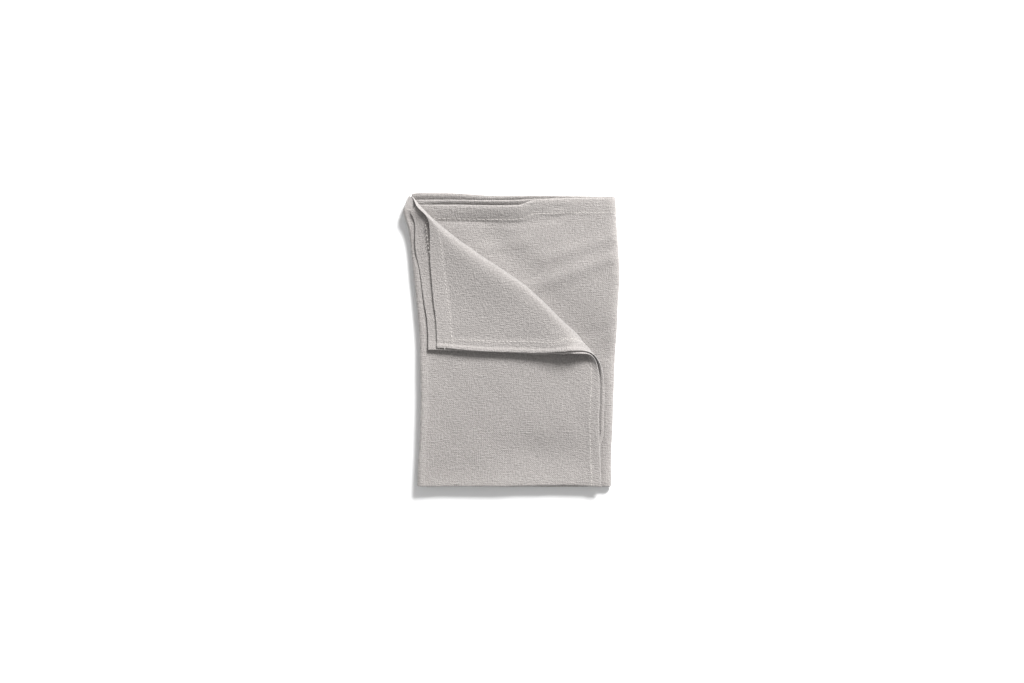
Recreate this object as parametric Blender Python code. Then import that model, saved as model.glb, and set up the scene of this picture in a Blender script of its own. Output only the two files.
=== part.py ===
"""A hemmed cloth napkin, folded in half, then in three, with one corner of the top turned over.

The cloth is one sheet. A place on it is given by u, across the three sections, v, away from the half
fold (the under half has v below 0, the other half v above 0), and w, through its thickness.
Sizes are in millimetres until the mesh is made. +X runs across the sections, +Y from the half fold to
the open hems, and +Z is up from the table.
"""

import math

import bmesh
import bpy
import numpy as np

METRES = 0.001

# The sheet and the air between its layers
CLOTH = 1.0
AIR = 0.3

# Folded size: where the two side folds turn, where the half fold turns, and the hems
LEFT_TURN_X = -67.65
RIGHT_TURN_X = 77.8
FREE_END_X = 67.0
HIDDEN_END_X = -66.0
HALF_FOLD_Y = -108.15
HALF_LENGTH = 219.5

# Radii of the folds, at the middle of what is folded
HALF_RADIUS = (CLOTH + AIR) / 2
PAIR = 2 * CLOTH + AIR
SIDE_RADIUS = (PAIR + AIR) / 2
FLOOR_TO_MIDDLE = PAIR / 2

# The turned corner: a line on the top section, and a roll that widens along it
TURN_POINT = (1.1, 49.6)
TURN_ANGLE = math.radians(-47.7)
TURN_RADIUS = 2.6
TURN_WIDENING = 0.010
TURN_REST = 45.0

# How far the under half's hem falls short of the other one, along the cloth (u, short)
SHORT_HEM = (
    (0.0, 0.6),
    (200.0, 0.5),
    (207.0, 0.8),
    (221.0, 4.1),
    (330.0, 4.1),
    (431.0, 2.4),
)

# How far the middle section's hems lie below the others, across it (x, drop)
MIDDLE_DROP = (
    (-67.0, 3.4),
    (10.0, 3.0),
    (77.0, 0.9),
)

# How far the right fold bows out at a height (y, out)
RIGHT_BOW = (
    (-109.0, -5.4),
    (-63.0, -4.4),
    (-18.0, -2.8),
    (24.0, -0.4),
    (50.0, 0.9),
    (89.0, -1.3),
    (110.0, -2.2),
)

# The under half reaches past the other at the free end (distance from the half fold, reach)
END_REACH = (
    (0.0, 0.0),
    (28.0, 0.3),
    (42.0, 3.0),
    (76.0, 3.0),
    (92.0, 1.0),
    (220.0, 1.0),
)

# How the top section and its turned corner are pulled out of square: a place as squarely folded, and
# the same place as it lies (x, y, lies x, lies y)
PULLS = (
    (-70.1, 110.0, -78.0, 109.0),
    (-70.1, 98.6, -81.4, 98.6),
    (-70.1, 86.6, -78.2, 86.6),
    (-70.1, 54.4, -74.4, 54.4),
    (-70.1, 31.1, -72.0, 31.1),
    (-70.1, -10.9, -69.5, -10.9),
    (-70.1, -73.9, -69.8, -73.9),
    (-70.1, -109.1, -71.4, -108.7),
    (0.0, -109.1, 0.0, -108.6),
    (67.0, -109.1, 67.0, -109.1),
    (67.0, -53.0, 65.4, -53.0),
    (70.0, -30.0, 69.3, -31.1),
    (70.1, -24.9, 68.6, -23.6),
    (65.3, -13.7, 63.8, -10.1),
    (44.8, 8.3, 40.7, 13.5),
    (17.5, 37.5, 9.8, 42.6),
    (-9.8, 66.7, -26.1, 66.8),
    (-37.1, 96.0, -60.5, 92.9),
    (-50.7, 110.6, -75.4, 108.4),
    (-46.9, 104.5, -69.0, 99.8),
    (-48.2, 89.7, -63.4, 89.7),
    (-49.8, 70.1, -61.4, 70.1),
    (-53.5, 31.1, -57.0, 31.1),
    (-57.2, -6.5, -56.3, -6.0),
    (-8.5, -11.5, -8.6, -7.9),
    (42.4, -15.1, 42.4, -7.5),
    (57.6, -16.3, 57.2, -9.8),
)

# How far from the left fold the lower sections are pulled along with it
SIDE_PULL_REACH = 60.0

# Lifts of the top layers (x, y, reach along x, reach along y, height)
LIFTS = (
    (-74.0, 100.0, 14.0, 18.0, 2.2),
    (52.0, -4.0, 26.0, 16.0, 1.5),
)


# How finely the flat sheet is cut: round the folds, across a section, near the hems and round the roll
SIDE_FOLD_STEPS = 6
HALF_FOLD_STEPS = 6
SECTION_STEPS = 6
TOP_STEPS = 8
END_ZONE = 36.0
END_ZONE_STEPS = 9
LENGTH_STEPS = 9
HEM_ZONE = 56.0
HEM_ZONE_STEPS = 9
LAST_ROW = 2.4
ROLL_STEPS = 8
SNAP = 0.02


def table_curve(table, places):
    """Smooth values between the rows of a two-column table."""
    rows = np.array(table)
    steps = np.interp(places, rows[:, 0], np.arange(len(rows)))
    whole = np.clip(np.floor(steps), 0, len(rows) - 2).astype(int)
    part = steps - whole
    part = part * part * (3 - 2 * part)
    return rows[whole, 1] * (1 - part) + rows[whole + 1, 1] * part


def soft_step(places):
    """0 below 0, 1 above 1, and an S curve between."""
    part = np.clip(places, 0, 1)
    return part * part * (3 - 2 * part)


def section_starts():
    """The u at which each side fold starts and ends, and the cloth's full length."""
    side_arc = math.pi * SIDE_RADIUS
    right_start = RIGHT_TURN_X - HIDDEN_END_X
    right_end = right_start + side_arc
    left_start = right_end + RIGHT_TURN_X - LEFT_TURN_X
    left_end = left_start + side_arc
    return right_start, right_end, left_start, left_end, left_end + FREE_END_X - LEFT_TURN_X


def fold_in_half(v, w):
    """Turn the sheet round the half fold: its y, and its height above the middle of the pair."""
    angle = np.clip(v / HALF_RADIUS, -math.pi / 2, math.pi / 2)
    straight = np.maximum(np.abs(v) - HALF_RADIUS * math.pi / 2, 0)
    radius = HALF_RADIUS + w
    return HALF_FOLD_Y + straight - radius * np.cos(angle), radius * np.sin(angle)


def fold_in_three(u, height):
    """Lay the pair to the right, back to the left over itself, and to the right again.

    Gives x, z, and the level, which is 0 up to the left fold and 1 past it.
    """
    right_start, right_end, left_start, left_end, length = section_starts()
    low = FLOOR_TO_MIDDLE
    right_angle = np.clip((u - right_start) / SIDE_RADIUS, 0, math.pi)
    left_angle = np.clip((u - left_start) / SIDE_RADIUS, 0, math.pi)
    x = RIGHT_TURN_X - np.maximum(right_start - u, 0)
    x = x + (SIDE_RADIUS - height) * np.sin(right_angle)
    x = x - np.clip(u - right_end, 0, left_start - right_end)
    x = x - (SIDE_RADIUS + height) * np.sin(left_angle)
    x = x + np.maximum(u - left_end, 0)
    first_rise = SIDE_RADIUS - (SIDE_RADIUS - height) * np.cos(right_angle)
    second_rise = 3 * SIDE_RADIUS - (SIDE_RADIUS + height) * np.cos(left_angle)
    z = low + np.where(u < (right_end + left_start) / 2, first_rise, second_rise)
    return x, z, soft_step(left_angle / math.pi)


def turn_corner(x, y, z):
    """Roll what lies past the turn line up and over, and let it settle on the section below."""
    along = (math.cos(TURN_ANGLE), math.sin(TURN_ANGLE))
    away = (-along[1], along[0])
    run = (x - TURN_POINT[0]) * along[0] + (y - TURN_POINT[1]) * along[1]
    past = (x - TURN_POINT[0]) * away[0] + (y - TURN_POINT[1]) * away[1]
    roll = TURN_RADIUS + TURN_WIDENING * run
    middle = FLOOR_TO_MIDDLE + 4 * SIDE_RADIUS
    radius = roll - (z - middle)
    angle = np.clip(past / roll, 0, math.pi)
    over = np.maximum(past - math.pi * roll, 0)
    reach = np.minimum(past, 0) + radius * np.sin(angle) - over
    new_z = middle + roll - radius * np.cos(angle)
    new_z = new_z - 2 * (roll - SIDE_RADIUS) * soft_step(over / TURN_REST)
    new_x = TURN_POINT[0] + run * along[0] + reach * away[0]
    new_y = TURN_POINT[1] + run * along[1] + reach * away[1]
    return new_x, new_y, new_z


def plate_kernel(distance):
    """The thin-plate spline's kernel, distance squared times its logarithm."""
    return distance ** 2 * np.log(np.maximum(distance, 1e-9))


def fit_pulls():
    """Weights of the smooth plate that carries each place in PULLS to where it lies."""
    rows = np.array(PULLS)
    places = rows[:, :2]
    count = len(rows)
    apart = np.linalg.norm(places[:, None] - places[None], axis=2)
    matrix = np.zeros((count + 3, count + 3))
    matrix[:count, :count] = plate_kernel(apart)
    matrix[:count, count] = 1
    matrix[count, :count] = 1
    matrix[:count, count + 1:] = places
    matrix[count + 1:, :count] = places.T
    right_side = np.zeros((count + 3, 2))
    right_side[:count] = rows[:, 2:] - places
    return np.linalg.solve(matrix, right_side)


def pull(weights, x, y):
    """The shift of a place on the top section, along x and y."""
    places = np.array(PULLS)[:, :2]
    apart = np.hypot(x[:, None] - places[:, 0], y[:, None] - places[:, 1])
    terms = np.column_stack([plate_kernel(apart), np.ones(len(x)), x, y])
    shift = terms @ weights
    return shift[:, 0], shift[:, 1]


def lay(u, v, w):
    """Where a place on the flat sheet lies in the folded napkin, in millimetres."""
    y, height = fold_in_half(v, w)
    x, z, level = fold_in_three(u, height)
    right_start, right_end, left_start, left_end, length = section_starts()

    on_top = u > left_end
    turned_x, turned_y, turned_z = turn_corner(x, y, z)
    x = np.where(on_top, turned_x, x)
    y = np.where(on_top, turned_y, y)
    z = np.where(on_top, turned_z, z)

    up_the_side = (y - HALF_FOLD_Y) / HALF_LENGTH
    in_middle = soft_step((u - right_start) / (right_end - right_start)) * (1 - level)
    y = y - table_curve(MIDDLE_DROP, x) * np.clip(up_the_side, 0, 1) * in_middle

    weights = fit_pulls()
    top_x, top_y = pull(weights, x, y)
    edge_x, edge_y = pull(weights, np.full_like(x, LEFT_TURN_X), y)
    near_left = 1 - soft_step((x - LEFT_TURN_X) / SIDE_PULL_REACH)
    near_right = soft_step((x - HIDDEN_END_X) / (RIGHT_TURN_X - HIDDEN_END_X))
    low_x = edge_x * near_left + table_curve(RIGHT_BOW, y) * near_right
    low_y = edge_y * near_left
    x = x + low_x * (1 - level) + top_x * level
    y = y + low_y * (1 - level) + top_y * level

    for lift_x, lift_y, reach_x, reach_y, rise in LIFTS:
        nearness = np.exp(-((x - lift_x) / reach_x) ** 2 - ((y - lift_y) / reach_y) ** 2)
        z = z + rise * nearness * level
    return x, y, z


def cut_steps(start, end, count):
    """Evenly spaced lines from start to end, without the end."""
    return [start + (end - start) * step / count for step in range(count)]


def sheet_lines():
    """The cuts across and along the flat sheet: closer where it folds."""
    right_start, right_end, left_start, left_end, length = section_starts()
    across = cut_steps(0, right_start, SECTION_STEPS)
    across += cut_steps(right_start, right_end, SIDE_FOLD_STEPS)
    across += cut_steps(right_end, left_start, SECTION_STEPS)
    across += cut_steps(left_start, left_end, SIDE_FOLD_STEPS)
    across += cut_steps(left_end, length - END_ZONE, TOP_STEPS)
    across += cut_steps(length - END_ZONE, length, END_ZONE_STEPS) + [length]
    arc = HALF_RADIUS * math.pi / 2
    away = cut_steps(arc, HALF_LENGTH - HEM_ZONE, LENGTH_STEPS)
    away += cut_steps(HALF_LENGTH - HEM_ZONE, HALF_LENGTH, HEM_ZONE_STEPS) + [HALF_LENGTH]
    along = [-place for place in reversed(away)]
    along += cut_steps(-arc, arc, HALF_FOLD_STEPS)[1:]
    along += away[:-1] + [HALF_LENGTH - LAST_ROW, HALF_LENGTH]
    return across, along


def shape_hems(u, v):
    """Move the outermost lines of the flat sheet to the napkin's own uneven hems."""
    right_start, right_end, left_start, left_end, length = section_starts()
    under_hem = v < SNAP - HALF_LENGTH
    free_end = (u > length - SNAP) & (v < 0)
    new_v = v + table_curve(SHORT_HEM, u) * under_hem
    new_u = u + table_curve(END_REACH, -v) * free_end
    return new_u, new_v


def flat_sheet():
    """The flat sheet as a bmesh in u and v, cut along its folds and along the roll of the corner."""
    across, along = sheet_lines()
    right_start, right_end, left_start, left_end, length = section_starts()
    grid_u, grid_v = shape_hems(*np.meshgrid(across, along))
    sheet = bmesh.new()
    rows = [[sheet.verts.new((u, v, 0)) for u, v in zip(*row)] for row in zip(grid_u, grid_v)]
    for lower, upper in zip(rows[:-1], rows[1:]):
        for step in range(len(across) - 1):
            sheet.faces.new((lower[step], lower[step + 1], upper[step + 1], upper[step]))

    direction = (math.cos(TURN_ANGLE), math.sin(TURN_ANGLE))
    away = (-direction[1], direction[0])
    to_v = HALF_RADIUS * math.pi / 2 - HALF_FOLD_Y
    for half in (1, -1):
        for step in range(ROLL_STEPS + 1):
            angle = math.pi * step / ROLL_STEPS
            normal_x = away[0] - angle * TURN_WIDENING * direction[0]
            normal_y = away[1] - angle * TURN_WIDENING * direction[1]
            size = math.hypot(normal_x, normal_y)
            offset = angle * TURN_RADIUS / size
            point_x = TURN_POINT[0] + offset * normal_x / size
            point_y = TURN_POINT[1] + offset * normal_y / size
            point = (point_x - LEFT_TURN_X + left_end, half * (point_y + to_v), 0)
            near = [face for face in sheet.faces
                    if face.calc_center_median().x > left_end
                    and half * face.calc_center_median().y > HALF_RADIUS]
            parts = set(near)
            for face in near:
                parts.update(face.edges)
                parts.update(face.verts)
            bmesh.ops.bisect_plane(sheet, geom=list(parts), dist=SNAP,
                                   plane_co=point, plane_no=(normal_x, half * normal_y, 0))
    bmesh.ops.triangulate(sheet, faces=sheet.faces[:], quad_method="BEAUTY")
    return sheet


def napkin_mesh():
    """Both faces of the folded sheet and the rim between them, as one closed mesh."""
    sheet = flat_sheet()
    sheet.verts.index_update()
    flat = np.array([vert.co[:] for vert in sheet.verts])
    faces = [[vert.index for vert in face.verts] for face in sheet.faces]
    rim = []
    for edge in sheet.edges:
        if edge.is_boundary:
            loop = edge.link_loops[0]
            rim.append((loop.vert.index, loop.link_loop_next.vert.index))
    sheet.free()

    u, v = flat[:, 0], flat[:, 1]
    count = len(flat)
    outer = np.column_stack(lay(u, v, np.full(count, CLOTH / 2)))
    inner = np.column_stack(lay(u, v, np.full(count, -CLOTH / 2)))
    places = np.vstack([outer, inner])
    places[:, :2] -= (places[:, :2].max(axis=0) + places[:, :2].min(axis=0)) / 2
    places = places * METRES
    solid = [tuple(face) for face in faces]
    solid += [tuple(index + count for index in reversed(face)) for face in faces]
    for first, second in rim:
        solid.append((second, first, first + count))
        solid.append((second, first + count, second + count))
    mesh = bpy.data.meshes.new("napkin")
    mesh.from_pydata(places.tolist(), [], solid)
    mesh.update()
    return mesh


def linen():
    """Plain woven linen in a warm light grey."""
    material = bpy.data.materials.new("linen")
    material.use_nodes = True
    shader = material.node_tree.nodes["Principled BSDF"]
    shader.inputs["Base Color"].default_value = (0.56, 0.51, 0.47, 1)
    shader.inputs["Roughness"].default_value = 0.9
    shader.inputs["Metallic"].default_value = 0.0
    return material


def main():
    for thing in list(bpy.data.objects):
        bpy.data.objects.remove(thing, do_unlink=True)
    mesh = napkin_mesh()
    mesh.materials.append(linen())
    napkin = bpy.data.objects.new("napkin", mesh)
    bpy.context.scene.collection.objects.link(napkin)


main()
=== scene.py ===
import math

import bpy
import numpy as np
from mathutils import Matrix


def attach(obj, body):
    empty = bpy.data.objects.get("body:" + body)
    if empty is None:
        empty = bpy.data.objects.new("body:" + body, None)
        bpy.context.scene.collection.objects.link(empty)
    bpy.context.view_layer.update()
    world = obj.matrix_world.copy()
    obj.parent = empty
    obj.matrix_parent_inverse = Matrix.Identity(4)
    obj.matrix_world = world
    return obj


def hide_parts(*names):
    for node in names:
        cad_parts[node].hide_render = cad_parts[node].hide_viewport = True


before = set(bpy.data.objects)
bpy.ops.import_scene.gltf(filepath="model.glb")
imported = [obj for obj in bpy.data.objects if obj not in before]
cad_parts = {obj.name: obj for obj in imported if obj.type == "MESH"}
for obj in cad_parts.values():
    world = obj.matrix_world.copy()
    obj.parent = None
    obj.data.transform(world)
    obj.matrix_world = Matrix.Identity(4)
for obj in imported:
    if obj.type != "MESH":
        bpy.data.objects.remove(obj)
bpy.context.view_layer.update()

# The napkin: one square of washed linen, hemmed on four sides, folded in half along its lower edge and
# then in three, to and fro. Both layers of the top section's right corner are turned over in a soft
# roll, and nothing fastens them.

# Sizes are in millimetres. u runs across the three sections, v away from the half fold, with the under
# half's v below 0, and w through the cloth.
METRES = 0.001
CLOTH_THICK = 0.55
HEM_THICK = 1.0
LAYER_STEP = 1.3

LEFT_TURN_X = -67.65
RIGHT_TURN_X = 77.8
FREE_END_X = 67.0
HIDDEN_END_X = -66.0
HALF_FOLD_Y = -108.15
HALF_LENGTH = 219.5
MIDDLE_OF_BOX = (-0.27, 0.51)

HALF_RADIUS = LAYER_STEP / 2
SIDE_RADIUS = LAYER_STEP
LOWEST_MIDDLE = 1.55

TURN_POINT = (1.1, 49.6)
TURN_ANGLE = math.radians(-47.7)
TURN_RADIUS = 2.6
TURN_WIDENING = 0.010
TURN_FLARE = 6.0
FLARE_START = 40.0
FLARE_REACH = 50.0
TURN_REST = 45.0
TURN_SETTLE = 1.3

SIDE_ARC = math.pi * SIDE_RADIUS
RIGHT_START = RIGHT_TURN_X - HIDDEN_END_X
RIGHT_END = RIGHT_START + SIDE_ARC
LEFT_START = RIGHT_END + RIGHT_TURN_X - LEFT_TURN_X
LEFT_END = LEFT_START + SIDE_ARC
FULL_LENGTH = LEFT_END + FREE_END_X - LEFT_TURN_X

# How far the under half's long hem falls short of the other (u, short)
SHORT_HEM = ((0, 0.6), (200, 0.5), (207, 0.8), (221, 4.1), (296, 4.1), (311, 0.4), (340, 2.4), (431, 2.4))

# How far the middle section's long hems lie below the others (x, drop)
MIDDLE_DROP = ((-67, 3.4), (10, 3.0), (77, 0.9))

# How far the right fold bows out (y, out)
RIGHT_BOW = ((-109, -5.4), (-63, -4.4), (-18, -2.8), (24, -0.4), (50, 0.9), (89, -1.3), (110, -2.2))

# How far the under half reaches past the other at the free end (distance from the half fold, reach)
END_REACH = (
    (0, 0.0),
    (28, 0.3),
    (42, 3.6),
    (60, 3.8),
    (80, 3.6),
    (102, 0.5),
    (116, -1.5),
    (150, -1.0),
    (220, 0.0),
)

# How the top section and its corner are pulled out of square (x, y, lies at x, lies at y)
PULLS = (
    (-70.1, 110.0, -77.4, 109.4),
    (-70.1, 98.6, -81.4, 98.6),
    (-70.1, 86.6, -78.2, 86.6),
    (-70.1, 54.4, -74.4, 54.4),
    (-70.1, 31.1, -72.0, 31.1),
    (-70.1, -10.9, -69.5, -10.9),
    (-70.1, -73.9, -69.8, -73.9),
    (-70.1, -109.1, -71.4, -108.7),
    (0.0, -109.1, 0.0, -108.6),
    (67.0, -109.1, 67.0, -109.1),
    (67.0, -53.0, 65.4, -53.0),
    (70.0, -30.0, 69.3, -31.1),
    (70.1, -24.9, 68.6, -23.6),
    (65.3, -13.7, 63.8, -10.1),
    (44.8, 8.3, 40.7, 13.5),
    (17.5, 37.5, 9.8, 42.6),
    (-9.8, 66.7, -26.1, 66.8),
    (-37.1, 96.0, -60.5, 92.9),
    (-50.7, 110.6, -75.4, 108.4),
    (-46.9, 104.5, -69.0, 99.8),
    (-48.2, 89.7, -63.4, 89.7),
    (-49.8, 70.1, -61.4, 70.1),
    (-53.5, 31.1, -57.0, 31.1),
    (-57.2, -6.5, -56.3, -6.0),
    (-8.5, -11.5, -8.6, -7.9),
    (42.4, -15.1, 42.4, -7.5),
    (57.6, -16.3, 57.2, -9.4),
)
SIDE_PULL_REACH = 60.0

# The roll's two layers stand apart at its left end
SLIT = 2.4
SLIT_PLACE = -78.0
SLIT_REACH = 15.0

# The roll opens wider at its right end
OPEN_END = 4.0
OPEN_START = 55.0
OPEN_REACH = 35.0

# How the free end's hems are pulled at the roll's right end (distance from the half fold, the under
# half's shift along x and y, the over half's shift along x and y)
TIP = (
    (60.0, 0.0, 0.0, 0.0, 0.0),
    (67.0, -0.4, 0.1, -0.7, 0.0),
    (75.0, -0.6, 0.4, -0.9, 0.0),
    (79.0, -0.5, 0.1, -0.8, -0.7),
    (83.0, 0.0, -0.9, -0.2, -1.9),
    (87.0, 0.4, -1.2, 0.0, -2.5),
    (91.0, 0.3, -0.8, 0.0, -2.4),
    (95.0, -0.4, -0.2, -0.3, -1.9),
    (99.0, -1.5, -0.5, -1.0, -2.0),
    (103.0, -2.9, -1.8, -2.2, -3.1),
    (107.0, -4.1, -3.7, -3.7, -5.1),
    (111.0, -4.5, -5.6, -4.6, -6.7),
    (115.0, -4.3, -6.6, -4.9, -7.5),
    (119.0, -3.3, -6.1, -4.6, -6.6),
    (123.0, -2.6, -3.0, -3.9, -3.2),
    (131.0, -1.2, -1.2, -1.7, -1.1),
    (139.0, 0.0, 0.0, 0.0, 0.0),
)
TIP_REACH = 14.0

# How far the long hems rise above their plain places (x, first section, middle section)
HEM_RISE = (
    (-78.0, -2.5, 0.1),
    (-75.4, 1.2, 0.1),
    (-70.9, 2.0, 0.1),
    (-49.9, 1.7, -0.1),
    (-9.4, -0.9, -1.0),
    (4.0, -0.8, -0.9),
    (18.0, -0.6, -0.3),
    (72.4, -1.2, -1.1),
)
HEM_RISE_START = 60.0
HEM_RISE_REACH = 45.0

# How far the turned corner's left hems are pulled to the right (y, over layer, under layer)
CORNER_SPREAD = (
    (-5.0, 0.0, -4.0),
    (16.0, -0.4, -4.7),
    (31.0, -1.3, -6.3),
    (54.4, -0.6, -7.1),
    (71.0, 0.8, -8.5),
    (93.4, 2.2, -7.0),
    (100.0, 2.8, -7.5),
)
CORNER_SPREAD_REACH = 40.0

# How far the turned corner's under layer sinks away from the other beside its left hem (y, sink)
CORNER_SINK = (
    (0.0, 0.2),
    (31.0, 0.6),
    (54.4, 1.0),
    (71.0, 1.2),
    (86.0, 1.6),
    (93.4, 1.9),
    (100.0, 1.7),
)
CORNER_SINK_REACH = 14.0

# How far the turned corner's lower hems hang below their plain places (x, over layer, under layer)
CORNER_DROP = (
    (-54.0, 0.2, 1.8),
    (-35.0, 1.5, 2.0),
    (-9.4, 3.4, 2.7),
    (20.6, 4.8, 4.8),
    (40.5, 3.2, 3.6),
    (51.0, 1.5, 2.0),
    (57.0, 0.5, 1.0),
    (62.0, 0.0, 0.0),
)
CORNER_DROP_REACH = 35.0
CORNER_EASE = 6.0

# Broad rises and dents of the whole stack (x, y, reach along x, reach along y, height at the top)
DENTS = (
    (22.0, -84.0, 30.0, 14.0, -2.2),
    (-70.0, -64.0, 14.0, 52.0, 1.8),
    (50.0, -104.0, 24.0, 9.0, 1.1),
    (-20.0, -108.0, 50.0, 9.0, 1.2),
    (55.0, 2.0, 26.0, 26.0, -1.6),
)

# Where the top section and its corner stand proud or sink (x, y, reach along x, reach along y,
# height of the section, height of the turned corner)
LIFTS = (
    (-79.0, 100.0, 8.0, 14.0, 3.0, 0.5),
    (-76.6, 92.0, 2.4, 4.5, -1.6, 0.0),
    (-68.0, 98.0, 14.0, 14.0, 1.0, 1.0),
    (52.0, -4.0, 26.0, 16.0, 3.0, 3.0),
)

# The creases: troughs where the height is below 0, ridges above (x, y, x, y, half width, height)
CREASES = (
    (-54.4, 90.4, -21.4, 89.6, 1.7, -0.75),
    (-21.4, 89.6, -3.4, 88.1, 1.4, -0.55),
    (-3.4, 88.1, 17.6, 89.6, 1.4, -0.9),
    (17.6, 89.6, 31.1, 91.9, 1.4, -0.8),
    (31.1, 91.9, 43.1, 95.6, 1.6, -0.5),
    (29.6, 100.9, 40.1, 100.9, 1.2, -0.5),
    (5.6, 37.0, 74.6, 62.6, 5.5, 1.7),
    (24.4, 62.0, 77.0, 78.0, 5.0, 1.3),
    (-20.0, 70.0, 10.0, 74.0, 4.0, 0.8),
    (54.0, 5.0, 77.0, 12.0, 3.5, -0.6),
    (-14.0, 76.0, 68.0, -10.0, 13.0, -2.6),
    (73.4, 110.0, 77.0, 50.0, 2.0, 0.9),
    (77.0, 50.0, 73.0, -17.0, 2.0, 0.9),
    (73.0, -17.0, 70.2, -110.0, 2.0, 0.9),
    (-71.5, 60.0, -66.5, 10.0, 2.0, 0.6),
    (-66.5, 10.0, -66.0, -50.0, 2.0, 0.6),
    (-66.0, -50.0, -68.6, -110.0, 2.0, 0.6),
)
CREASE_FULL_HEIGHT = 7.0

# How high the long hems stand along the open top edge, and how wide the raised band is there
# (x, first section, its band, middle section's under layer, its band, middle section's over layer)
HEM_LIFT = (
    (-76.0, 2.0, 4.0, 0.3, 2.6, 0.0),
    (-70.0, 2.8, 3.7, 1.2, 2.6, 0.0),
    (-62.0, 2.9, 3.4, 2.1, 2.4, 1.2),
    (-54.0, 3.0, 3.4, 2.4, 2.2, 2.8),
    (-20.0, 3.0, 2.8, 2.6, 2.2, 4.0),
    (5.0, 2.4, 2.2, 2.2, 2.2, 3.6),
    (20.0, 1.6, 1.8, 1.2, 0.6, 2.4),
    (45.0, 1.0, 1.2, 0.6, 0.4, 1.4),
    (77.0, 0.4, 0.6, 0.1, 0.4, 0.6),
)
HEM_LIFT_EASE = 1.3
OVER_LAYER_BAND = 1.0
OVER_LAYER_EASE = 13.0

# The turned corner's puff beside its roll: how high, how far in, how it grows to the left, and the
# share of it that the inner layer takes
PUFF = 1.9
PUFF_PLACE = 9.5
PUFF_SLOPE = -0.024
INNER_PUFF = 0.35

# The free end's upper hem curls up, and the lower one has a raised edge
END_CURL = 1.2
END_CURL_REACH = 5.0
END_BEAD = 1.2
END_BEAD_WIDTH = 2.0


def soft_step(places):
    """0 below 0, 1 above 1, and 3p2 - 2p3 between."""
    part = np.clip(places, 0, 1)
    return part * part * (3 - 2 * part)


def table_curve(table, places, column=1):
    """A smooth curve through a table's rows: cubic pieces, level at both ends and at every turn."""
    rows = np.array(table, float)
    at, value = rows[:, 0], rows[:, column]
    steep = np.diff(value) / np.diff(at)
    before, after = steep[:-1], steep[1:]
    same_way = before * after > 0
    slope = np.zeros(len(at))
    slope[1:-1][same_way] = 2 * (before * after)[same_way] / (before + after)[same_way]
    places = np.clip(places, at[0], at[-1])
    row = np.clip(np.searchsorted(at, places, side="right") - 1, 0, len(at) - 2)
    gap = at[row + 1] - at[row]
    share = (places - at[row]) / gap
    rise = soft_step(share)
    start_bend = share * (1 - share) ** 2 * slope[row] * gap
    end_bend = share ** 2 * (share - 1) * slope[row + 1] * gap
    return value[row] * (1 - rise) + value[row + 1] * rise + start_bend + end_bend


def plate(distance):
    """The thin-plate spline's kernel: distance squared times its logarithm."""
    return distance ** 2 * np.log(np.maximum(distance, 1e-9))


def fit_pulls():
    """Weights of a thin plate that passes through every row of PULLS."""
    rows = np.array(PULLS)
    places = rows[:, :2]
    count = len(rows)
    matrix = np.zeros((count + 3, count + 3))
    matrix[:count, :count] = plate(np.linalg.norm(places[:, None] - places[None], axis=2))
    matrix[:count, count] = matrix[count, :count] = 1
    matrix[:count, count + 1:] = places
    matrix[count + 1:, :count] = places.T
    shifts = np.zeros((count + 3, 2))
    shifts[:count] = rows[:, 2:] - places
    return np.linalg.solve(matrix, shifts)


PULL_WEIGHTS = fit_pulls()


def pull(x, y):
    """Shift along x and y: the plate's kernel at each distance, times its weights, plus a plane."""
    shift_x = PULL_WEIGHTS[-3, 0] + PULL_WEIGHTS[-2, 0] * x + PULL_WEIGHTS[-1, 0] * y
    shift_y = PULL_WEIGHTS[-3, 1] + PULL_WEIGHTS[-2, 1] * x + PULL_WEIGHTS[-1, 1] * y
    for row, weight in zip(PULLS, PULL_WEIGHTS):
        kernel = plate(np.hypot(x - row[0], y - row[1]))
        shift_x = shift_x + weight[0] * kernel
        shift_y = shift_y + weight[1] * kernel
    return shift_x, shift_y


def fold_in_half(v, w):
    """y and height above the pair's middle: a half circle of radius HALF_RADIUS + w, then straight."""
    angle = np.clip(v / HALF_RADIUS, -math.pi / 2, math.pi / 2)
    straight = np.maximum(np.abs(v) - HALF_RADIUS * math.pi / 2, 0)
    radius = HALF_RADIUS + w
    return HALF_FOLD_Y + straight - radius * np.cos(angle), radius * np.sin(angle)


def fold_in_three(u, height):
    """x, z and level: straight, half circle, straight back, half circle, straight. Level is 1 on top."""
    right = np.clip((u - RIGHT_START) / SIDE_RADIUS, 0, math.pi)
    left = np.clip((u - LEFT_START) / SIDE_RADIUS, 0, math.pi)
    x = RIGHT_TURN_X - np.maximum(RIGHT_START - u, 0) + (SIDE_RADIUS - height) * np.sin(right)
    x = x - np.clip(u - RIGHT_END, 0, LEFT_START - RIGHT_END)
    x = x - (SIDE_RADIUS + height) * np.sin(left) + np.maximum(u - LEFT_END, 0)
    first = SIDE_RADIUS - (SIDE_RADIUS - height) * np.cos(right)
    second = 3 * SIDE_RADIUS - (SIDE_RADIUS + height) * np.cos(left)
    z = LOWEST_MIDDLE + np.where(u < (RIGHT_END + LEFT_START) / 2, first, second)
    return x, z, soft_step(left / math.pi)


def past_turn(x, y):
    """How far a place is along the turn line, and how far past it towards the corner."""
    along = (math.cos(TURN_ANGLE), math.sin(TURN_ANGLE))
    run = (x - TURN_POINT[0]) * along[0] + (y - TURN_POINT[1]) * along[1]
    past = (y - TURN_POINT[1]) * along[0] - (x - TURN_POINT[0]) * along[1]
    return run, past


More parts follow.
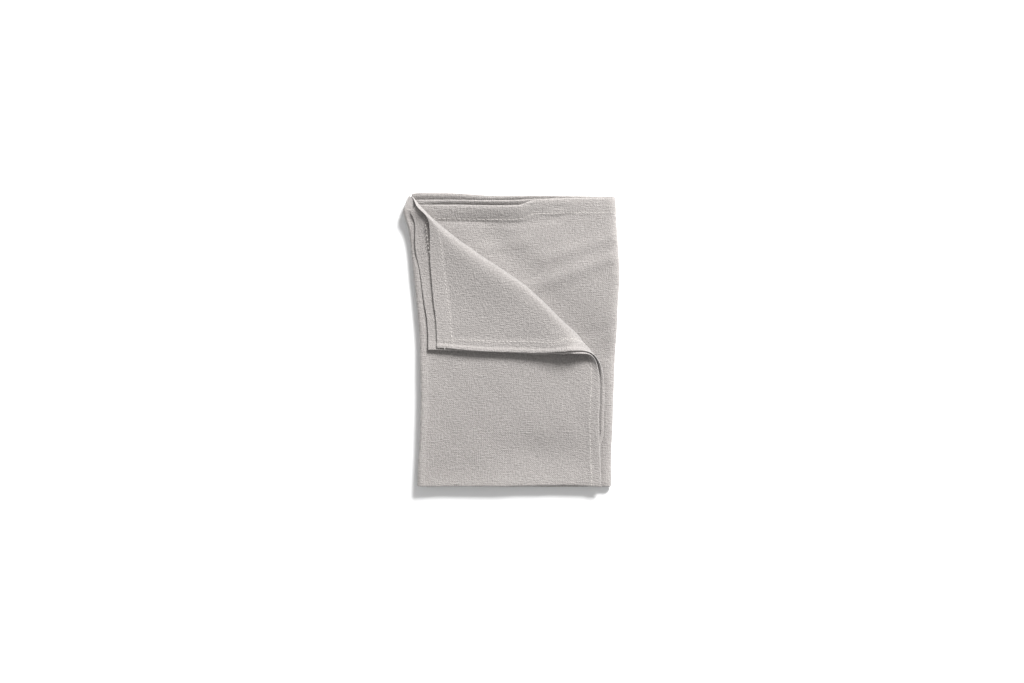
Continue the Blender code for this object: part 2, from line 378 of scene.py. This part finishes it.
def turn_corner(x, y, z):
    """Past the turn line the cloth goes round a half circle. The angle is the distance past the line over
    the roll's arc. Across, a place reaches the radius times the sine, and up, it lies the roll's radius
    less its own radius times the cosine above the middle. Then it lies back over the section, where it
    settles and puffs up beside the roll."""
    along = (math.cos(TURN_ANGLE), math.sin(TURN_ANGLE))
    run, past = past_turn(x, y)
    roll = TURN_RADIUS + TURN_WIDENING * run
    flare = TURN_FLARE * soft_step((run - FLARE_START) / FLARE_REACH)
    past = past + flare
    middle = LOWEST_MIDDLE + 4 * SIDE_RADIUS
    radius = roll - (z - middle)
    arc = roll + flare / 2 + OPEN_END * soft_step((run - OPEN_START) / OPEN_REACH)
    angle = np.clip(past / arc, 0, math.pi)
    over = np.maximum(past - math.pi * arc, 0)
    slit = SLIT * np.exp(-((run - SLIT_PLACE) / SLIT_REACH) ** 2)
    wide = radius + flare - (z - middle) / HALF_RADIUS * slit / 2
    reach = np.minimum(past, 0) + wide * np.sin(angle) - over - flare
    new_z = middle + roll - radius * np.cos(angle)
    new_z = new_z - TURN_SETTLE * (roll - SIDE_RADIUS) * soft_step(over / TURN_REST)
    puff = np.maximum(PUFF + PUFF_SLOPE * run, 0) * np.where(z > middle, INNER_PUFF, 1)
    inside = over + np.where(angle > math.pi / 2, (roll + flare) * (1 - np.sin(angle)), 0)
    near = inside / PUFF_PLACE
    new_z = new_z + puff * near * np.exp(1 - near)
    new_x = TURN_POINT[0] + run * along[0] - reach * along[1]
    new_y = TURN_POINT[1] + run * along[1] + reach * along[0]
    return new_x, new_y, new_z, over, angle / math.pi


def hem_distances(u, v):
    """Distances from the nearest long hem's edge and from the nearest end's edge."""
    side = HALF_LENGTH - np.where(v < 0, table_curve(SHORT_HEM, u), 0) - np.abs(v)
    reach = np.where(v < 0, table_curve(END_REACH, -v), 0)
    end = np.minimum(u, FULL_LENGTH + reach - u)
    return side, end


def crease_height(x, y):
    """Sum of DENTS as bells and CREASES as bells round each straight piece."""
    height = np.zeros_like(x)
    for dent_x, dent_y, reach_x, reach_y, rise in DENTS:
        height = height + rise * np.exp(-((x - dent_x) / reach_x) ** 2 - ((y - dent_y) / reach_y) ** 2)
    for start_x, start_y, end_x, end_y, half_width, rise in CREASES:
        run_x, run_y = end_x - start_x, end_y - start_y
        length = run_x ** 2 + run_y ** 2
        share = np.clip(((x - start_x) * run_x + (y - start_y) * run_y) / length, 0, 1)
        off = (x - start_x - share * run_x) ** 2 + (y - start_y - share * run_y) ** 2
        height = height + rise * np.exp(-off / half_width ** 2)
    return height


def lay(u, v, w):
    """Half fold, side folds, turned corner, pulls, hems and creases: x, y, z of a place on the cloth."""
    y, height = fold_in_half(v, w)
    x, z, level = fold_in_three(u, height)
    on_top = u > LEFT_END
    turn_x, turn_y, turn_z, over, wrap = turn_corner(x, y, z)
    x = np.where(on_top, turn_x, x)
    y = np.where(on_top, turn_y, y)
    z = np.where(on_top, turn_z, z)
    turned = on_top * soft_step(over / CORNER_EASE)

    up_the_side = np.clip((y - HALF_FOLD_Y) / HALF_LENGTH, 0, 1)
    in_middle = soft_step((u - RIGHT_START) / SIDE_ARC) * (1 - level)
    y = y - table_curve(MIDDLE_DROP, x) * up_the_side * in_middle

    top_x, top_y = pull(x, y)
    edge_x, edge_y = pull(np.full_like(x, LEFT_TURN_X), y)
    near_left = 1 - soft_step((x - LEFT_TURN_X) / SIDE_PULL_REACH)
    near_right = soft_step((x - HIDDEN_END_X) / (RIGHT_TURN_X - HIDDEN_END_X))
    low_x = edge_x * near_left + table_curve(RIGHT_BOW, y) * near_right
    low_y = edge_y * near_left
    x = x + low_x * (1 - level) + top_x * level
    y = y + low_y * (1 - level) + top_y * level

    by_hems = soft_step((y - HEM_RISE_START) / HEM_RISE_REACH) * (1 - level)
    first_rise = table_curve(HEM_RISE, x, 1)
    middle_rise = table_curve(HEM_RISE, x, 2)
    y = y + by_hems * (first_rise + (middle_rise - first_rise) * in_middle)

    side, end = hem_distances(u, v)
    near_side = turned * (1 - soft_step(side / CORNER_SPREAD_REACH))
    near_end = turned * (1 - soft_step(end / CORNER_DROP_REACH))
    near_tip = on_top * (1 - soft_step(end / TIP_REACH))
    tip_x = np.where(v < 0, table_curve(TIP, -v, 1), table_curve(TIP, v, 3))
    tip_y = np.where(v < 0, table_curve(TIP, -v, 2), table_curve(TIP, v, 4))
    spread = np.where(v < 0, table_curve(CORNER_SPREAD, y, 1), table_curve(CORNER_SPREAD, y, 2))
    drop = np.where(v < 0, table_curve(CORNER_DROP, x, 1), table_curve(CORNER_DROP, x, 2))
    x = x + near_side * spread + near_tip * tip_x
    y = y - near_end * drop + near_tip * tip_y
    sink = turned * (v > 0) * (1 - soft_step(side / CORNER_SINK_REACH))
    z = z - sink * table_curve(CORNER_SINK, y)

    first_band = 1 - soft_step((side - table_curve(HEM_LIFT, x, 2)) / HEM_LIFT_EASE)
    under_band = 1 - soft_step((side - table_curve(HEM_LIFT, x, 4)) / HEM_LIFT_EASE)
    over_band = 1 - soft_step((side - OVER_LAYER_BAND) / OVER_LAYER_EASE)
    z = z + table_curve(HEM_LIFT, x, 1) * (1 - in_middle) * (1 - level) * first_band
    z = z + table_curve(HEM_LIFT, x, 3) * in_middle * (v > 0) * under_band
    z = z + table_curve(HEM_LIFT, x, 5) * in_middle * (v < 0) * over_band
    upper_end = END_CURL * np.exp(-(end / END_CURL_REACH) ** 2)
    lower_end = END_BEAD * (1 - soft_step((end - END_BEAD_WIDTH) / HEM_LIFT_EASE))
    z = z + on_top * np.where(v > 0, upper_end, lower_end)
    wrapped = on_top * soft_step(wrap)
    for lift_x, lift_y, reach_x, reach_y, rise, corner_rise in LIFTS:
        nearness = np.exp(-((x - lift_x) / reach_x) ** 2 - ((y - lift_y) / reach_y) ** 2)
        z = z + (rise + (corner_rise - rise) * wrapped) * nearness * level
    z = z + crease_height(x, y) * np.clip(z / CREASE_FULL_HEIGHT, 0, 1) * (1 - wrapped)
    places = np.stack([x - MIDDLE_OF_BOX[0], y - MIDDLE_OF_BOX[1], z], axis=-1)
    return places * METRES


# Rows and columns of the cloth: closer together round the folds, at the hems and across the roll
HEM_SIDE = 12.4
HEM_END = 8.8
HEM_LINES = (14.2, 13.4, 12.9, 12.4, 12.0, 11.5, 11.0, 10.5, 9.0, 7.0, 5.0, 3.0, 1.4, 0.5, 0.15, 0.0)
HEM_BLEND = 0.8
ROW_STEP = 2.25
HALF_FOLD_ROWS = 9
LOWER_COLUMNS = 32
RIGHT_FOLD_COLUMNS = 10
MIDDLE_COLUMNS = 53
LEFT_FOLD_COLUMNS = 12
TOP_COLUMNS = 100
FINE_STEPS = 1200

# How much closer the top section's columns lie across the roll, near the hem and at its edge
ROLL_CROWDING = 3.2
ROLL_CROWDING_REACH = 0.65
HEM_CROWDING = 1.6
HEM_CROWDING_REACH = 9
EDGE_CROWDING = 6
EDGE_CROWDING_REACH = 0.8


def evenly_cut(weight, start, end, count):
    """count + 1 places from start to end, closer where weight is larger: equal shares of its sum."""
    fine = np.linspace(start, end, FINE_STEPS)
    share = np.cumsum(weight(fine))
    share = (share - share[0]) / (share[-1] - share[0])
    return np.interp(np.linspace(0, 1, count + 1), share, fine)


def cloth_rows():
    """Shares of the half's length, from -1 at the under hem to 1 at the other, close at the half fold."""
    arc = HALF_RADIUS * math.pi / 2
    inner = HALF_LENGTH - HEM_LINES[0]
    straight = np.linspace(arc, inner, int((inner - arc) / ROW_STEP))
    away = np.concatenate([straight, HALF_LENGTH - np.array(HEM_LINES[1:])])
    round_fold = np.linspace(-arc, arc, HALF_FOLD_ROWS + 2)[1:-1]
    rows = np.concatenate([-away[::-1], round_fold, away])
    return rows / HALF_LENGTH


def cloth_columns(rows):
    """u for every row and column: even in the lower sections, and crowded to the roll in the top one."""
    def lower_weight(u):
        """7 within 2 mm of the hidden end, 4 at its hem's seam, and 1 elsewhere."""
        return 1 + 6 * (u < 2) + 3 * (np.abs(u - HEM_END) < 2)

    lower = evenly_cut(lower_weight, 0, RIGHT_START, LOWER_COLUMNS)
    right = np.linspace(RIGHT_START, RIGHT_END, RIGHT_FOLD_COLUMNS + 1)
    middle = np.linspace(RIGHT_END, LEFT_START, MIDDLE_COLUMNS + 1)
    left = np.linspace(LEFT_START, LEFT_END, LEFT_FOLD_COLUMNS + 1)
    before = np.concatenate([lower[:-1], right[:-1], middle[:-1], left[:-1]])
    columns = []
    for row in rows:
        y = HALF_FOLD_Y + abs(row) * HALF_LENGTH
        length = FULL_LENGTH + (table_curve(END_REACH, -row * HALF_LENGTH) if row < 0 else 0)

        def top_weight(u):
            """1, and more round the roll's middle, near the hem and at its edge."""
            run, past = past_turn(u - LEFT_END + LEFT_TURN_X, y)
            across = past / (math.pi * (TURN_RADIUS + TURN_WIDENING * run))
            roll = ROLL_CROWDING * np.exp(-((across - 0.5) / ROLL_CROWDING_REACH) ** 4)
            end = HEM_CROWDING * np.exp(-((length - u) / HEM_CROWDING_REACH) ** 4)
            end = end + EDGE_CROWDING * (length - u < EDGE_CROWDING_REACH)
            return 1 + roll + end

        columns.append(np.concatenate([before, evenly_cut(top_weight, LEFT_END, length, TOP_COLUMNS)]))
    return np.array(columns)


def hem_cover(u, v):
    """How much of a hem lies at a place, 0 to 1, and its distances from the side hem and the end hem."""
    side, end = hem_distances(u, v)
    by_side = 1 - soft_step((side - HEM_SIDE + HEM_BLEND / 2) / HEM_BLEND)
    by_end = 1 - soft_step((end - HEM_END + HEM_BLEND / 2) / HEM_BLEND)
    return np.maximum(by_side, by_end), side, end


# The seams' places, how far they and the hem's edge thin the cloth, and how the cloth waves and puckers
STITCH_SIDE = 11.0
STITCH_END = 7.5
SEAM_THINNING = 0.35
SEAM_REACH = 0.55
EDGE_THINNING = 0.45
EDGE_REACH = 0.25
WAVE = 0.16
FINE_WAVE = 0.07
PUCKER = 0.06
PUCKER_INSIDE = 2
SIDE_PUCKER_REACH = 4.5
END_PUCKER_REACH = 4.0

# How much paler the doubled hems are, how strong the painted highlight on folds and hem edges is, and its
# reach
HEM_PALE = 0.08
FOLD_EDGE_HIGHLIGHT = 0.17
FOLD_HIGHLIGHT_REACH = 5.4
EDGE_HIGHLIGHT_REACH = 1.2


def half_thickness(u, v):
    """Half the cloth's thickness: more at the hems, less where the seam draws it in and at its edge."""
    cover, side, end = hem_cover(u, v)
    dent = np.exp(-((side - STITCH_SIDE) / SEAM_REACH) ** 2)
    dent = dent + np.exp(-((end - STITCH_END) / SEAM_REACH) ** 2)
    edge = 1 - EDGE_THINNING * np.exp(-(np.minimum(side, end) / EDGE_REACH) ** 2)
    thick = CLOTH_THICK + (HEM_THICK - CLOTH_THICK) * cover * (1 - SEAM_THINNING * np.clip(dent, 0, 1))
    return thick / 2 * edge


def unevenness(u, v):
    """How far the cloth's middle waves off its place: three crossed sines, and a pucker by the hems. The
    numbers that u and v are divided by are the waves' lengths in millimetres over two pi."""
    cover, side, end = hem_cover(u, v)
    wave = np.sin(u / 9.1 + 2 * np.sin(v / 31)) * np.sin(v / 13.7 + 1.3 * np.sin(u / 23))
    wave = WAVE * wave + FINE_WAVE * np.sin(u / 4.3 + v / 6.1)
    near_side = np.exp(-((side - STITCH_SIDE - PUCKER_INSIDE) / SIDE_PUCKER_REACH) ** 2)
    near_end = np.exp(-((end - STITCH_END - PUCKER_INSIDE) / END_PUCKER_REACH) ** 2)
    by_side = near_side * np.sin(u / 1.25 + 3 * np.sin(u / 17))
    by_end = near_end * np.sin(v / 1.3 + 3 * np.sin(v / 14))
    return wave * (1 - cover) + PUCKER * (by_side + by_end)


def hem_tone_and_highlight(u, v):
    """How much paler the cloth is: at the doubled hems, plus a painted highlight along the folds and hem
    edges.
    """
    cover, side, end = hem_cover(u, v)
    # Painted highlight: the two side folds, the half fold and every hem edge are made paler where their
    # rounded cloth catches the light.
    highlight = np.exp(-((u - (RIGHT_START + RIGHT_END) / 2) / FOLD_HIGHLIGHT_REACH) ** 2)
    highlight = highlight + np.exp(-((u - (LEFT_START + LEFT_END) / 2) / FOLD_HIGHLIGHT_REACH) ** 2)
    highlight = highlight + np.exp(-(v / FOLD_HIGHLIGHT_REACH) ** 2)
    highlight = highlight + np.exp(-(np.minimum(side, end) / EDGE_HIGHLIGHT_REACH) ** 2)
    return HEM_PALE * cover + FOLD_EDGE_HIGHLIGHT * np.clip(highlight, 0, 1)


def cloth_mesh():
    """Two grids, w at plus and minus half the thickness, joined round the rim, with u and v as UV."""
    rows = cloth_rows()
    u = cloth_columns(rows)
    longest = HALF_LENGTH - np.where(rows[:, None] < 0, table_curve(SHORT_HEM, u), 0)
    v = rows[:, None] * longest
    middle = unevenness(u, v)
    half = half_thickness(u, v)
    outer = lay(u, v, middle + half)
    inner = lay(u, v, middle - half)
    rows_count, columns_count = u.shape
    index = np.arange(rows_count * columns_count).reshape(rows_count, columns_count)
    corners = [index[:-1, :-1], index[:-1, 1:], index[1:, 1:], index[1:, :-1]]
    quads = np.stack(corners, axis=-1).reshape(-1, 4)
    under = quads[:, ::-1] + index.size
    rim = np.concatenate([index[0, :-1], index[:-1, -1], index[-1, :0:-1], index[:0:-1, 0]])
    after = np.roll(rim, -1)
    sides = np.stack([after, rim, rim + index.size, after + index.size], axis=-1)
    faces = np.concatenate([quads, under, sides])

    mesh = bpy.data.meshes.new("napkin_cloth")
    mesh.from_pydata(np.concatenate([outer, inner]).reshape(-1, 3).tolist(), [], faces.tolist())
    flat = np.stack([u, v + HALF_LENGTH], axis=-1).reshape(-1, 2) * METRES
    flat = np.concatenate([flat, flat + np.array([0.5, 0.0])])
    loops = np.empty(len(mesh.loops), int)
    mesh.loops.foreach_get("vertex_index", loops)
    mesh.uv_layers.new(name="flat_cloth").data.foreach_set("uv", flat[loops].ravel())
    # The attribute carries the doubled hems' paler tone and the painted highlight along folds and hem
    # edges.
    tone_and_highlight = hem_tone_and_highlight(u, v).ravel()
    mesh.attributes.new("tone_and_highlight", "FLOAT", "POINT").data.foreach_set("value", np.concatenate([tone_and_highlight, tone_and_highlight]))
    mesh.polygons.foreach_set("use_smooth", np.ones(len(mesh.polygons), bool))
    mesh.update()
    return mesh


# The linen: its colour, its threads' spacing, noise waves a metre, how strongly each kind of thread
# shows in the tone and stands out, and how fine slubs and knots are beside the threads
CLOTH_COLOUR = (0.276, 0.258, 0.248)
THREAD_STEP = 0.7
THREAD_WAVES = 260
SLUB_WAVES = 60
CLOUD_WAVES = 35
THREAD_TONE = 0.05
SLUB_TONE = 0.10
KNOT_TONE = 0.13
CLOUD_TONE = 0.012
WEAVE_RELIEF = 0.4
THREAD_RELIEF = 0.35
SLUB_RELIEF = 0.8
KNOT_RELIEF = 0.4
SLUB_FINENESS = 0.8
KNOT_FINENESS = 0.62


def linen(name, warm_colour, thread_step):
    """Woven linen: crossed threads, uneven in tone, sparse pale slubs both ways, a soft fuzz, and the
    painted highlight on folds and hem edges.
    """
    material = bpy.data.materials.new(name)
    material.use_nodes = True
    tree = material.node_tree
    nodes, links = tree.nodes, tree.links
    shader = nodes["Principled BSDF"]
    shader.inputs["Roughness"].default_value = 0.92
    shader.inputs["Specular IOR Level"].default_value = 0.2
    shader.inputs["Sheen Weight"].default_value = 0.6
    shader.inputs["Sheen Roughness"].default_value = 0.5
    uv = nodes.new("ShaderNodeUVMap")
    uv.uv_map = "flat_cloth"

    def streaks(per_metre_x, per_metre_y, detail, bottom, top, low, high):
        """Noise with so many waves a metre each way, from bottom to top of its range to low to high."""
        place = nodes.new("ShaderNodeMapping")
        place.inputs["Scale"].default_value = (per_metre_x, per_metre_y, 1)
        links.new(uv.outputs["UV"], place.inputs["Vector"])
        noise = nodes.new("ShaderNodeTexNoise")
        noise.noise_dimensions = "2D"
        noise.inputs["Scale"].default_value = 1.0
        noise.inputs["Detail"].default_value = detail
        links.new(place.outputs["Vector"], noise.inputs["Vector"])
        spread = nodes.new("ShaderNodeMapRange")
        spread.inputs["From Min"].default_value = bottom
        spread.inputs["From Max"].default_value = top
        spread.inputs["To Min"].default_value = low
        spread.inputs["To Max"].default_value = high
        links.new(noise.outputs["Fac"], spread.inputs["Value"])
        return spread.outputs["Result"]

    def combine(kind, first, second):
        """One Math node of the given kind."""
        node = nodes.new("ShaderNodeMath")
        node.operation = kind
        for socket, value in zip(node.inputs, (first, second)):
            if isinstance(value, (int, float)):
                socket.default_value = value
            else:
                links.new(value, socket)
        return node.outputs["Value"]

    threads = 1 / (thread_step * METRES)
    weft = streaks(THREAD_WAVES, threads, 0.0, 0.3, 0.7, -1, 1)
    warp = streaks(threads, THREAD_WAVES, 0.0, 0.3, 0.7, -1, 1)
    weft_slubs = streaks(SLUB_WAVES, threads * SLUB_FINENESS, 0.0, 0.71, 0.86, 0, 1)
    warp_slubs = streaks(threads * SLUB_FINENESS, SLUB_WAVES, 0.0, 0.71, 0.86, 0, 1)
    knots = streaks(threads * KNOT_FINENESS, threads * KNOT_FINENESS, 1.5, 0.3, 0.7, -1, 1)
    cloudy = streaks(CLOUD_WAVES, CLOUD_WAVES, 2.0, 0.3, 0.7, -1, 1)

    fine = combine("ADD", weft, warp)
    slubs = combine("ADD", weft_slubs, warp_slubs)
    tone = combine("ADD", combine("MULTIPLY", fine, THREAD_TONE), combine("MULTIPLY", slubs, SLUB_TONE))
    tone = combine("ADD", tone, combine("MULTIPLY", knots, KNOT_TONE))
    tone = combine("ADD", tone, combine("MULTIPLY", cloudy, CLOUD_TONE))
    # This attribute adds the doubled hems' paler tone and the painted highlight along the folds and hem
    # edges.
    tone_and_highlight = nodes.new("ShaderNodeAttribute")
    tone_and_highlight.attribute_name = "tone_and_highlight"
    tone = combine("ADD", tone, tone_and_highlight.outputs["Fac"])
    tone = combine("ADD", tone, 1.0)
    colour = nodes.new("ShaderNodeVectorMath")
    colour.operation = "SCALE"
    colour.inputs[0].default_value = warm_colour
    links.new(tone, colour.inputs["Scale"])
    links.new(colour.outputs["Vector"], shader.inputs["Base Color"])

    place = nodes.new("ShaderNodeSeparateXYZ")
    links.new(uv.outputs["UV"], place.inputs["Vector"])
    turn = math.pi * threads
    across = combine("SINE", combine("MULTIPLY", place.outputs["X"], turn), 0)
    up = combine("SINE", combine("MULTIPLY", place.outputs["Y"], turn), 0)
    weave = combine("MULTIPLY", across, up)
    woven = combine("MULTIPLY", weave, WEAVE_RELIEF)
    height = combine("ADD", woven, combine("MULTIPLY", fine, THREAD_RELIEF))
    height = combine("ADD", height, combine("MULTIPLY", slubs, SLUB_RELIEF))
    height = combine("ADD", height, combine("MULTIPLY", knots, KNOT_RELIEF))
    bump = nodes.new("ShaderNodeBump")
    bump.inputs["Strength"].default_value = 0.7
    bump.inputs["Distance"].default_value = 0.0003
    links.new(height, bump.inputs["Height"])
    links.new(bump.outputs["Normal"], shader.inputs["Normal"])
    return material


cloth = bpy.data.objects.new("napkin_cloth", cloth_mesh())
bpy.context.scene.collection.objects.link(cloth)
cloth.data.materials.append(linen("washed_linen", CLOTH_COLOUR, THREAD_STEP))
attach(cloth, "root")
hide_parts("napkin")


# The seams: cotton thread sewn round all four hems in short lock stitches, which show on both faces
# of the cloth. Each stitch is a small bowed thread that dips into the cloth at its two ends.
STITCH_LENGTH = 2.3
STITCH_SPACING = 3.0
STITCH_RADIUS = 0.21
STITCH_RINGS = 6
STITCH_SIDES = 5
STITCH_ARCH = 0.2
STITCH_DIP = 0.05
STITCH_TAPER = (0.12, 0.76)
STITCH_FULLNESS = 1.3
CORNER_GAP = 4

# Extra stitches bar the turned corner, so far from its end hem, and a thread's end hangs out there
BAR_STITCHES = (10.2, 7.9, 5.6, 3.3)
BAR_SHIFT = 0.4
LOOSE_END_INSIDE = 0.9


def seam_places():
    """Start, direction in u and v, and face of every stitch: along the side hems, then the end hems, then
    the corner's bar and its loose end."""
    along_side = np.arange(STITCH_END, FULL_LENGTH - STITCH_END - STITCH_LENGTH, STITCH_SPACING)
    starts = []
    for half in (-1, 1):
        for shift, face in ((0.0, 1), (STITCH_SPACING / 2, -1)):
            u = along_side + shift
            short = table_curve(SHORT_HEM, u) if half < 0 else np.zeros_like(u)
            v = half * (HALF_LENGTH - short - STITCH_SIDE)
            starts.append(np.stack([u, v, np.ones_like(u), 0 * u, 0 * u + face], axis=-1))
    low = -HALF_LENGTH + STITCH_SIDE + CORNER_GAP
    along_end = np.arange(low, HALF_LENGTH - STITCH_SIDE - STITCH_LENGTH, STITCH_SPACING)
    for at_free_end in (False, True):
        for shift, face in ((0.0, 1), (STITCH_SPACING / 2, -1)):
            v = along_end + shift
            reach = np.where(v < 0, table_curve(END_REACH, -v), 0)
            u = FULL_LENGTH + reach - STITCH_END if at_free_end else np.full_like(v, STITCH_END)
            starts.append(np.stack([u, v, 0 * v, np.ones_like(v), 0 * v + face], axis=-1))
    corner_v = SHORT_HEM[-1][1] + STITCH_SIDE + BAR_SHIFT - HALF_LENGTH
    corner_u = FULL_LENGTH + END_REACH[-1][1]
    for from_end in BAR_STITCHES:
        starts.append(np.array([[corner_u - from_end, corner_v, 1, 0, 1]]))
    starts.append(np.array([[corner_u - LOOSE_END_INSIDE, corner_v - STITCH_SIDE / 2, 1, 0, 1]]))
    return np.concatenate(starts)


def stitch_mesh():
    """A bowed tube for each stitch: a circle round a sine arch, narrower at both ends, laid on the folded
    cloth's face."""
    starts = seam_places()[:, None, None, :]
    t = np.linspace(0, 1, STITCH_RINGS)[None, :, None]
    angle = (np.arange(STITCH_SIDES) / STITCH_SIDES * 2 * math.pi)[None, None, :]
    along = t * STITCH_LENGTH
    narrowing = np.sin(math.pi * (STITCH_TAPER[0] + STITCH_TAPER[1] * t))
    radius = STITCH_RADIUS * np.clip(narrowing * STITCH_FULLNESS, 0, 1)
    beside = radius * np.cos(angle)
    u = starts[..., 0] + along * starts[..., 2] + beside * starts[..., 3]
    v = starts[..., 1] + along * starts[..., 3] + beside * starts[..., 2]
    arch = STITCH_ARCH * np.sin(math.pi * t) - STITCH_DIP
    off_face = unevenness(u, v) + starts[..., 4] * (half_thickness(u, v) + arch + radius * np.sin(angle))
    places = lay(u, v, off_face)
    count = len(starts)
    index = np.arange(places[..., 0].size).reshape(count, STITCH_RINGS, STITCH_SIDES)
    around = np.roll(index, -1, axis=2)
    quads = np.stack([index[:, :-1], around[:, :-1], around[:, 1:], index[:, 1:]], axis=-1).reshape(-1, 4)
    caps = [index[:, 0, ::-1].reshape(-1, STITCH_SIDES), index[:, -1].reshape(-1, STITCH_SIDES)]
    faces = quads.tolist() + caps[0].tolist() + caps[1].tolist()
    mesh = bpy.data.meshes.new("hem_stitches")
    mesh.from_pydata(places.reshape(-1, 3).tolist(), [], faces)
    mesh.polygons.foreach_set("use_smooth", np.ones(len(mesh.polygons), bool))
    mesh.update()
    return mesh


THREAD_VALLEY = (0.46, 0.43, 0.41, 1)
THREAD_RIDGE = (0.62, 0.59, 0.56, 1)


def sewing_thread():
    """Twisted cotton thread: a fine diagonal ridge on a slightly paler ground than the cloth."""
    material = bpy.data.materials.new("sewing_thread")
    material.use_nodes = True
    nodes, links = material.node_tree.nodes, material.node_tree.links
    shader = nodes["Principled BSDF"]
    shader.inputs["Roughness"].default_value = 0.7
    shader.inputs["Sheen Weight"].default_value = 0.2
    where = nodes.new("ShaderNodeTexCoord")
    twist = nodes.new("ShaderNodeTexWave")
    twist.bands_direction = "DIAGONAL"
    twist.inputs["Scale"].default_value = 900.0
    twist.inputs["Distortion"].default_value = 1.5
    links.new(where.outputs["Object"], twist.inputs["Vector"])
    shade = nodes.new("ShaderNodeValToRGB")
    shade.color_ramp.elements[0].color = THREAD_VALLEY
    shade.color_ramp.elements[1].color = THREAD_RIDGE
    links.new(twist.outputs["Fac"], shade.inputs["Fac"])
    links.new(shade.outputs["Color"], shader.inputs["Base Color"])
    bump = nodes.new("ShaderNodeBump")
    bump.inputs["Strength"].default_value = 0.4
    bump.inputs["Distance"].default_value = 0.0001
    links.new(twist.outputs["Fac"], bump.inputs["Height"])
    links.new(bump.outputs["Normal"], shader.inputs["Normal"])
    return material


stitches = bpy.data.objects.new("hem_stitches", stitch_mesh())
bpy.context.scene.collection.objects.link(stitches)
stitches.data.materials.append(sewing_thread())
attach(stitches, "root")


# The floor: a plain pale surface that the napkin lies on, flat and matt like a sheet of paper. It is
# there for the picture only, and is no piece of the napkin.
FLOOR_HALF = 1.6
FLOOR_COLOUR = (0.93, 0.93, 0.93, 1)
floor_mesh = bpy.data.meshes.new("floor")
floor_corners = [(x * FLOOR_HALF, y * FLOOR_HALF, 0) for x, y in ((-1, -1), (1, -1), (1, 1), (-1, 1))]
floor_mesh.from_pydata(floor_corners, [], [(0, 1, 2, 3)])
floor = bpy.data.objects.new("floor", floor_mesh)
bpy.context.scene.collection.objects.link(floor)
paper = bpy.data.materials.new("pale_floor")
paper.use_nodes = True
paper_shader = paper.node_tree.nodes["Principled BSDF"]
paper_shader.inputs["Base Color"].default_value = FLOOR_COLOUR
paper_shader.inputs["Roughness"].default_value = 0.9
floor_mesh.materials.append(paper)


# The light: one large soft window-like light from behind the top edge, a weak one from the front, and
# a bright even sky, as in a picture of cloth on white.
SKY_COLOUR = (1, 1, 1, 1)
SKY_STRENGTH = 0.42


def soft_light(name, place, size, power):
    """A square area light at place, in metres, turned to the frame's origin."""
    data = bpy.data.lights.new(name, "AREA")
    data.size = size
    data.energy = power
    lamp = bpy.data.objects.new(name, data)
    lamp.location = place
    tilt = math.atan2(math.hypot(place[0], place[1]), place[2])
    lamp.rotation_euler = (tilt, 0, math.atan2(place[1], place[0]) + math.pi / 2)
    bpy.context.scene.collection.objects.link(lamp)


soft_light("key", (0.62, 1.25, 1.05), size=0.6, power=68.0)
soft_light("fill", (-0.6, -0.9, 1.6), size=1.2, power=4.0)
sky = bpy.data.worlds.new("sky")
sky.use_nodes = True
sky_light = sky.node_tree.nodes["Background"]
sky_light.inputs["Color"].default_value = SKY_COLOUR
sky_light.inputs["Strength"].default_value = SKY_STRENGTH
bpy.context.scene.world = sky
bpy.context.scene.view_settings.view_transform = "Standard"


# The camera: straight above the photograph's middle, with a long lens. The picture is 768 mm wide at the
# top of the six layers, 8 mm above the floor.
PICTURE_WIDTH = 0.768
CLOTH_TOP = 0.008
SENSOR = 36.0
LENS = 100.0
data = bpy.data.cameras.new("camera")
data.sensor_width = SENSOR
data.lens = LENS
camera = bpy.data.objects.new("camera", data)
camera_height = PICTURE_WIDTH / SENSOR * LENS + CLOTH_TOP
camera.location = (-MIDDLE_OF_BOX[0] * METRES, -MIDDLE_OF_BOX[1] * METRES, camera_height)
bpy.context.scene.collection.objects.link(camera)
bpy.context.scene.camera = camera
